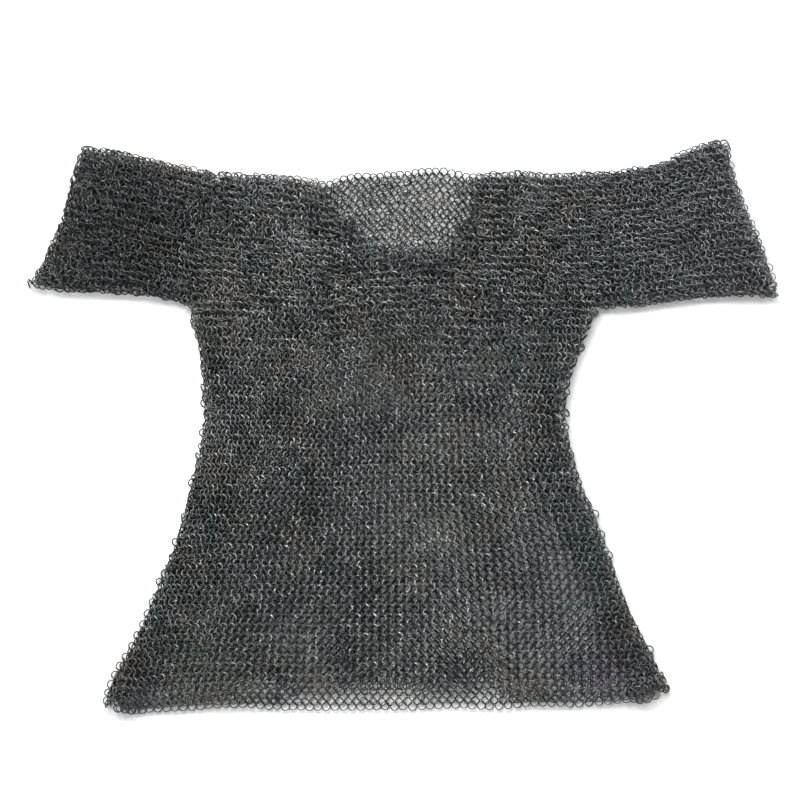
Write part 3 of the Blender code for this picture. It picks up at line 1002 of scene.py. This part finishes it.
@dataclass
class BodyMail:
    """The front and back of the body: rows of rings from the hem up to the shoulders."""

    weave: Weave
    outline: Outline
    shares: dict[Layer, np.ndarray] = field(init=False)
    fold_depth: float = 3.0
    front_fold_gap: float = 0.45
    back_fold_gap: float = 0.95
    drawn_columns: float = 3.5
    crowded_width: float = 55.0
    crowding: float = 0.74
    reach_across: float = 720.0
    # The least distance of a ring from a side fold, in pitches
    side_gap: float = 0.3
    # The least distances of a ring's middle from the edges
    shoulder_gap: float = 4.5
    neck_gap: float = 5.0
    hem_gap: float = 2.5
    front_seed: int = 101
    back_seed: int = 202
    # The height over the hem in which rings stop to lie flat
    flat_from: float = 4.0
    flat_over: float = 13.0
    # The height over the hem in which the back layer shifts against the front one
    shift_from: float = 22.0
    shift_over: float = 25.0
    # Where low on the right side begins, and the height over which it comes in
    ragged_from: float = -215.0
    ragged_over: float = 80.0
    # The share of rings that are loose, and how much greater it is for the rings of a side fold
    loose_share: float = 0.05
    loose_on_fold: float = 0.14
    # The least and most degrees that they turn, and how much less the most is low on the right side
    loose_turn: tuple = (8.0, 42.0)
    ragged_turn: float = 26.0
    # How far out and down they hang from a fold, and the share of it lost low on the right side
    loose_reach: tuple = (0.2, 3.4)
    loose_drop: float = 2.6
    ragged_loss: float = 0.75

    def __post_init__(self) -> None:
        """Sets the rows of both layers. The sleeves go on from those of the front."""
        low = float(self.outline.hem_height(np.array([0.0]), Layer.BACK)[0]) + self.weave.hem_inset
        high = float(self.outline.shoulder_height(np.array([0.0]))[0]) - self.weave.fold_inset
        self.shares = {layer: self.weave.row_shares(layer, low, high) for layer in Layer}

    def heights(self, x: np.ndarray, share: float) -> np.ndarray:
        """The height of a row across the shirt."""
        low = self.outline.hem_height(x, Layer.BACK) + self.weave.hem_inset
        high = self.outline.shoulder_height(x) - self.weave.fold_inset
        return low + (high - low) * share

    def level(self, share: float, across: float = 0.0) -> float:
        """The height of a row at one place, in the middle of the shirt if none is given."""
        return float(self.heights(np.array([across]), share)[0])

    def columns(self, row: int, layer: Layer) -> tuple[np.ndarray, float]:
        """The places along a row, with their pitch."""
        level = self.level(self.shares[layer][row])
        pitch = float(self.weave.pitch(level, layer))
        count = int(self.reach_across / pitch) + 2
        steps = np.arange(-count, count + 1) + (0.5 if row % 2 else 0.0)
        shift = 0.0 if layer is Layer.FRONT else float(self.weave.back_offset(level)[0])
        return self.weave.centre_x + self.weave.widened((steps + shift) * pitch, level), pitch

    def drawn_to_folds(
        self, x: np.ndarray, right: np.ndarray, left: np.ndarray, pitch: float, layer: Layer
    ) -> np.ndarray:
        """Crowds the last rings of a row, and moves them so that it goes evenly round both side folds."""
        wide = self.crowded_width
        from_right, from_left = x - right, left - x
        x = np.where(from_right < wide, right + wide - (wide - from_right) * self.crowding, x)
        x = np.where(from_left < wide, left - wide + (wide - from_left) * self.crowding, x)
        gap = pitch * (self.front_fold_gap if layer is Layer.FRONT else self.back_fold_gap)
        reach = self.drawn_columns * pitch
        least = self.side_gap * pitch
        first = int(np.argmax(x > right + least))
        last = len(x) - 1 - int(np.argmax((x < left - least)[::-1]))
        to_right = (right[first] + gap - x[first]) * np.clip(1.0 - (x - x[first]) / reach, 0.0, 1.0)
        to_left = (left[last] - gap - x[last]) * np.clip(1.0 - (x[last] - x) / reach, 0.0, 1.0)
        return x + to_right + to_left

    def row(self, row: int, layer: Layer) -> dict[str, np.ndarray]:
        """The rings of one row of one layer, before they are laid."""
        share = self.shares[layer][row]
        x, pitch = self.columns(row, layer)
        y = self.heights(x, share)
        right = self.outline.side(y, True) + self.fold_depth
        left = self.outline.side(y, False) - self.fold_depth
        level = self.level(share)
        below_arm = level < self.outline.armpit
        least = self.side_gap * pitch if below_arm else -1.0
        if below_arm:
            x = self.drawn_to_folds(x, right, left, pitch, layer)
        keep = (x > right + least) & (x < left - least)
        fold = np.zeros(len(x))
        if layer is Layer.BACK:
            away = ease((y - self.outline.hem_height(x, layer) - self.shift_from) / self.shift_over)
            spacing = float(self.weave.row_spacing(level, layer))
            y = y + away * spacing * float(self.weave.back_offset(level)[1])
            x = x - pitch * away * self.weave.slip(x, level)
            keep &= y < self.outline.shoulder_height(x) - self.shoulder_gap
        else:
            keep &= self.outline.from_neck(x, y) > self.neck_gap
            if below_arm:
                ends = np.array([right[keep][0], left[keep][-1]])
                x = np.concatenate([ends, x])
                y = np.concatenate([self.heights(ends, share), y])
                keep = np.concatenate([[True, True], keep])
                right, left = np.append(right[:2], right), np.append(left[:2], left)
                right[:2], left[:2] = ends[0], ends[1]
                fold = np.append(np.ones(2), fold)
            keep &= y > self.outline.hem_height(x, layer) + self.hem_gap
        slope = np.interp(x, *self.slopes(share))
        from_right, from_left = x - right, left - x
        made = dict(
            x=x,
            y=y,
            odd=np.full(len(x), float(row % 2)),
            slope=slope,
            inside=np.maximum(np.minimum(from_right, from_left), 0.0),
            right=from_right < from_left,
            fold=fold,
        )
        return {name: values[keep] for name, values in made.items()}

    def slopes(self, share: float) -> tuple[np.ndarray, np.ndarray]:
        """The slope of a row across the shirt, with the places where it is known."""
        across = np.linspace(-450.0, 450.0, 181)
        return across, np.gradient(self.heights(across, share), across)

    def outward(self, y: np.ndarray, right: np.ndarray) -> np.ndarray:
        """The direction out over the nearer side fold at some heights, one long across."""
        lean_right = self.outline.side(y + 2.0, True) - self.outline.side(y - 2.0, True)
        lean_left = self.outline.side(y + 2.0, False) - self.outline.side(y - 2.0, False)
        lean = np.where(right, lean_right, -lean_left) / 4.0
        return np.stack([np.where(right, -1.0, 1.0), lean, np.zeros(len(y))], axis=1)

    def rows(self, layer: Layer, start: float, end: float) -> Rings:
        """The rings of a layer between two heights.

        Args:
            layer: The layer.
            start: The lowest height, at the middle of the shirt.
            end: The height to stop at.

        Returns:
            The rings, folded over at the sides.
        """
        shares = enumerate(self.shares[layer])
        got = gathered([self.row(row, layer) for row, share in shares if start <= self.level(share) < end])
        x, y, right = got["x"], got["y"], got["right"]
        flat = 1.0 - ease((y - self.outline.hem_height(x, layer) - self.flat_from) / self.flat_over)
        seed = self.front_seed if layer is Layer.FRONT else self.back_seed
        rings = self.weave.set_rings(layer, x, y, got["odd"], np.arctan(got["slope"]), flat, seed)
        outward = self.outward(y, right)
        chance = np.random.default_rng(seed + 5)
        low_right = ease((self.ragged_from - y) / self.ragged_over) * right
        loose = chance.uniform(0.0, 1.0, len(x)) < self.loose_share + self.loose_on_fold * got["fold"]
        # Low on the right side every other ring of the fold lies flat
        loose = np.where((low_right > 0.4) & (got["fold"] > 0.5), got["odd"] > 0.5, loose)
        least_turn, most_turn = self.loose_turn
        turn = chance.uniform(least_turn, most_turn - self.ragged_turn * low_right, len(x))
        inside = np.where(y < self.outline.armpit, got["inside"], math.inf)
        rings = fold_over(rings, layer, inside, unit(outward), np.where(loose, turn, 90.0))
        hanging = loose & (got["fold"] > 0.5)
        rings.places[hanging, 2] -= self.loose_drop
        reach = chance.uniform(*self.loose_reach, len(x)) * (1.0 - self.ragged_loss * low_right)
        rings.places[hanging] += (reach[:, None] * outward)[hanging]
        return rings

    def build(self, maker: RingMaker) -> list[bpy.types.Object]:
        """Builds the pieces of the body."""
        plans = (
            ("front_skirt_rings", "front_panel", Layer.FRONT, -500.0, -190.0, 10, 1.46),
            ("front_waist_rings", "front_panel", Layer.FRONT, -190.0, 90.0, 10, 1.38),
            ("front_yoke_rings", "front_panel", Layer.FRONT, 90.0, 500.0, 10, 1.38),
            ("back_hem_rings", "back_panel", Layer.BACK, -500.0, -372.0, 12, 1.14),
            ("back_lower_rings", "back_panel", Layer.BACK, -372.0, -50.0, 9, 1.55),
            ("back_upper_rings", "back_panel", Layer.BACK, -50.0, 500.0, 8, 1.34),
        )
        pieces = []
        for number, (name, node, layer, start, end, segments, wire) in enumerate(plans):
            rings = self.rows(layer, start, end)
            piece = maker.make(name, rings, segments, 11 + number, wire)
            pieces.append(declare(piece, node, rings))
        return pieces


@dataclass
class SleeveMail:
    """One sleeve: a flattened tube of mail whose rows go on from those of the body."""

    name: str
    node: str
    lines: SleeveLines
    pitch: float
    body: BodyMail
    seed: int
    # Across, height and size of rings that lie on top
    stray_rings: tuple = ()
    cuff_turn: float = 0.0
    cuff_inset: float = 5.2
    # Pitches by which odd rows end before the cuff, and by which a ring may pass it before rows are fitted
    odd_inset: float = 0.3
    cuff_play: float = 0.35
    # How flat the rings of the cuff lie, and over what length that ends
    cuff_flat: float = 0.5
    cuff_flat_over: float = 8.0
    # Pitches between the rings of the two layers
    back_shift: float = 0.25
    edge_inset: float = 3.8
    width: float = 200.0
    # The folds' turn in degrees, and the width of mail between them, with what their outer faces add
    fold_turn: float = 32.0
    fold_width: float = 195.0
    fold_face: float = 3.6
    # The share of the sleeve over which its rows spread to its lower fold
    spread_over: float = 0.35
    # Rows that start lower than this share of the armhole don't reach the sleeve
    least_up: float = -0.004
    stray_height: float = 13.8
    stray_facing: tuple = (0.15, 0.1, 1.0)
    segments: int = 9
    wire: float = 1.28
    lowest: float = field(init=False)

    def __post_init__(self) -> None:
        """Finds how far up the lowest row starts."""
        ups = [self.start(row)[0] for row in range(len(self.body.shares[Layer.FRONT]))]
        self.lowest = min(up for up in ups if up >= self.least_up)

    def start(self, row: int) -> tuple[float, float]:
        """How far up the armhole a row starts, and where across."""
        weave, outline = self.body.weave, self.body.outline
        share = self.body.shares[Layer.FRONT][row]
        low, high = outline.right_armhole if self.lines.outward < 0.0 else outline.left_armhole
        first = low[1] + weave.fold_inset
        last = float(outline.shoulder_height(np.array([high[0]]))[0]) - weave.fold_inset
        up = (self.body.level(share, low[0]) - low[1]) / (high[1] - low[1])
        armhole_x = low[0] + (high[0] - low[0]) * up
        return (self.body.level(share, armhole_x) - first) / (last - first), armhole_x

    def row(self, row: int, layer: Layer) -> dict[str, np.ndarray] | None:
        """The rings of one row from the armhole to the cuff, or None below the armpit."""
        up, armhole_x = self.start(row)
        if up < self.least_up:
            return None
        along = np.linspace(0.0, 1.0, 120)
        # Away from the armhole the rows spread until the lowest lies at the fold
        spread = (up - self.lowest) / (1.0 - self.lowest)
        ups = np.clip(up + (spread - up) * ease(along / self.spread_over), 0.0, 1.0)
        inset = self.edge_inset / self.width
        line_x, line_y = self.lines.place(along, inset + (1.0 - 2.0 * inset) * ups)
        run = np.concatenate([[0.0], np.cumsum(np.hypot(np.diff(line_x), np.diff(line_y)))])
        columns, pitch = self.body.columns(row, Layer.FRONT)
        shift = 0.0 if layer is Layer.FRONT else self.back_shift
        steps = (columns - armhole_x) * self.lines.outward / pitch + shift
        steps = np.sort(steps[steps > 0.0])
        far = steps * self.pitch
        reach = run[-1] - self.cuff_inset - self.odd_inset * self.pitch * (row % 2)
        far = far[far < reach + self.cuff_play * self.pitch]
        far = far * reach / far[-1]
        x, y = np.interp(far, run, line_x), np.interp(far, run, line_y)
        slope = np.interp(far, run, np.gradient(line_y, line_x))
        return dict(
            x=x,
            y=y,
            odd=np.full(len(x), float(row % 2)),
            slope=slope,
            up=np.interp(far, run, ups),
            cuff=run[-1] - far,
        )

    def rings(self, layer: Layer) -> Rings:
        """All the rings of one layer."""
        runs = [self.row(row, layer) for row in range(len(self.body.shares[Layer.FRONT]))]
        got = gathered([run for run in runs if run is not None])
        flat = self.cuff_flat * (1.0 - ease((got["cuff"] - self.cuff_inset) / self.cuff_flat_over))
        heading = np.arctan(got["slope"])
        seed = self.seed + (0 if layer is Layer.FRONT else 50)
        rings = self.body.weave.set_rings(layer, got["x"], got["y"], got["odd"], heading, flat, seed)
        out = np.where(got["up"] > 0.5, 1.0, -1.0)
        level = np.zeros(len(out))
        outward = np.stack([-np.sin(heading) * out, np.cos(heading) * out, level], axis=1)
        edge = np.minimum(got["up"], 1.0 - got["up"]) * self.fold_width + self.fold_face
        rings = fold_over(rings, layer, edge, outward, np.full(len(out), self.fold_turn))
        if self.cuff_turn:
            along = self.lines.outward * np.stack([np.cos(heading), np.sin(heading), level], axis=1)
            from_cuff = np.maximum(got["cuff"] - self.cuff_inset, 0.0)
            rings = fold_over(rings, layer, from_cuff, along, np.full(len(out), self.cuff_turn))
        return rings

    def build(self, maker: RingMaker) -> bpy.types.Object:
        """Builds the sleeve, both layers as one piece."""
        parts = [self.rings(Layer.FRONT), self.rings(Layer.BACK)]
        facing = unit(np.array([self.stray_facing]))
        for x, y, size in self.stray_rings:
            parts.append(Rings(np.array([[x, y, self.stray_height]]), facing, np.array([size])))
        rings = Rings.joined(parts)
        piece = maker.make(self.name, rings, self.segments, self.seed, self.wire)
        return declare(piece, self.node, rings)


def triangle_count(piece: bpy.types.Object) -> int:
    """How many triangles a piece has."""
    return sum(len(face.vertices) - 2 for face in piece.data.polygons)


def declare(piece: bpy.types.Object, node: str, rings: Rings) -> bpy.types.Object:
    """Hangs a piece of mail on the root, hides the solid that it stands for and logs its rings and
    triangles.

    Args:
        piece: The mail.
        node: The solid that it stands for.
        rings: Its rings.

    Returns:
        The piece.
    """
    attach(piece, "root")
    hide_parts(node)
    log.info("%s: %d rings, %d triangles", piece.name, len(rings), triangle_count(piece))
    return piece


@dataclass(frozen=True)
class Studio:
    """A white ground, soft light from the far side and a camera straight above."""

    floor_reach: float = 7.0
    picture_width: float = 1.160
    centre: tuple = (-0.0036, 0.0392)
    camera_height: float = 4.0
    cloth_height: float = 0.007
    # Name, place, size across in metres, power in watts
    lamps: tuple = (
        ("key", (-1.7, 4.4, 3.1), 5.2, 535.0),
        ("spark", (-2.0, 3.6, 3.1), 0.7, 55.0),
        ("far_right", (3.8, 3.3, 2.9), 1.6, 160.0),
        ("left_fill", (-4.0, -0.6, 2.8), 2.2, 85.0),
    )
    sky: float = 0.27

    def build(self) -> None:
        """Sets everything that isn't the shirt."""
        self.set_floor()
        self.set_lights()
        self.set_camera()

    def set_floor(self) -> None:
        """Lays the ground."""
        mesh = bpy.data.meshes.new("floor")
        reach = self.floor_reach
        corners = [(x * reach, y * reach, 0.0) for x, y in ((-1, -1), (1, -1), (1, 1), (-1, 1))]
        mesh.from_pydata(corners, [], [(0, 1, 2, 3)])
        mesh.materials.append(PaleFloor().build())
        add_object("floor", mesh)

    def set_lights(self) -> None:
        """Hangs the lamps, each aimed at the shirt, and lights the room a little."""
        world = bpy.data.worlds.new("room")
        bpy.context.scene.world = world
        world.use_nodes = True
        sky = world.node_tree.nodes["Background"].inputs
        sky["Color"].default_value = (1.0, 1.0, 1.0, 1.0)
        sky["Strength"].default_value = self.sky
        for name, place, size, power in self.lamps:
            light = bpy.data.lights.new(name, "AREA")
            light.shape = "DISK"
            light.size = size
            light.energy = power
            lamp = add_object(name, light)
            lamp.location = place
            lamp.rotation_euler = (-lamp.location).to_track_quat("-Z", "Y").to_euler()

    def set_camera(self) -> None:
        """Hangs the camera over the shirt, so that the frame is as wide as the picture."""
        lens = bpy.data.cameras.new("camera")
        lens.sensor_width = 36.0
        lens.lens = 36.0 * (self.camera_height - self.cloth_height) / self.picture_width
        lens.clip_end = 30.0
        camera = add_object("camera", lens)
        camera.location = (*self.centre, self.camera_height)
        bpy.context.scene.camera = camera
        bpy.context.scene.view_settings.view_transform = "Standard"


def main() -> None:
    """Builds the hauberk and the room that it lies in."""
    logging.basicConfig(level=logging.INFO, format="%(message)s")
    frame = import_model()
    log.info("the packed model has %d nodes", len(frame["nodes"]))
    Studio().build()
    weave = Weave()
    maker = RingMaker(BlackenedSteel().build(), weave)
    body = BodyMail(weave, Outline())
    pieces = body.build(maker)
    right = SleeveMail(
        "right_sleeve_rings",
        "right_sleeve",
        RIGHT_ARM,
        8.4,
        body,
        303,
        stray_rings=((-312.0, 184.0, 1.3), (-299.0, 187.0, 1.25)),
        cuff_turn=84.0,
        cuff_inset=2.0,
    )
    left = SleeveMail("left_sleeve_rings", "left_sleeve", LEFT_ARM, 8.4, body, 404)
    pieces += [right.build(maker), left.build(maker)]
    bpy.context.view_layer.update()
    log.info("%d pieces of mail", len(pieces))


if __name__ == "__main__":
    main()
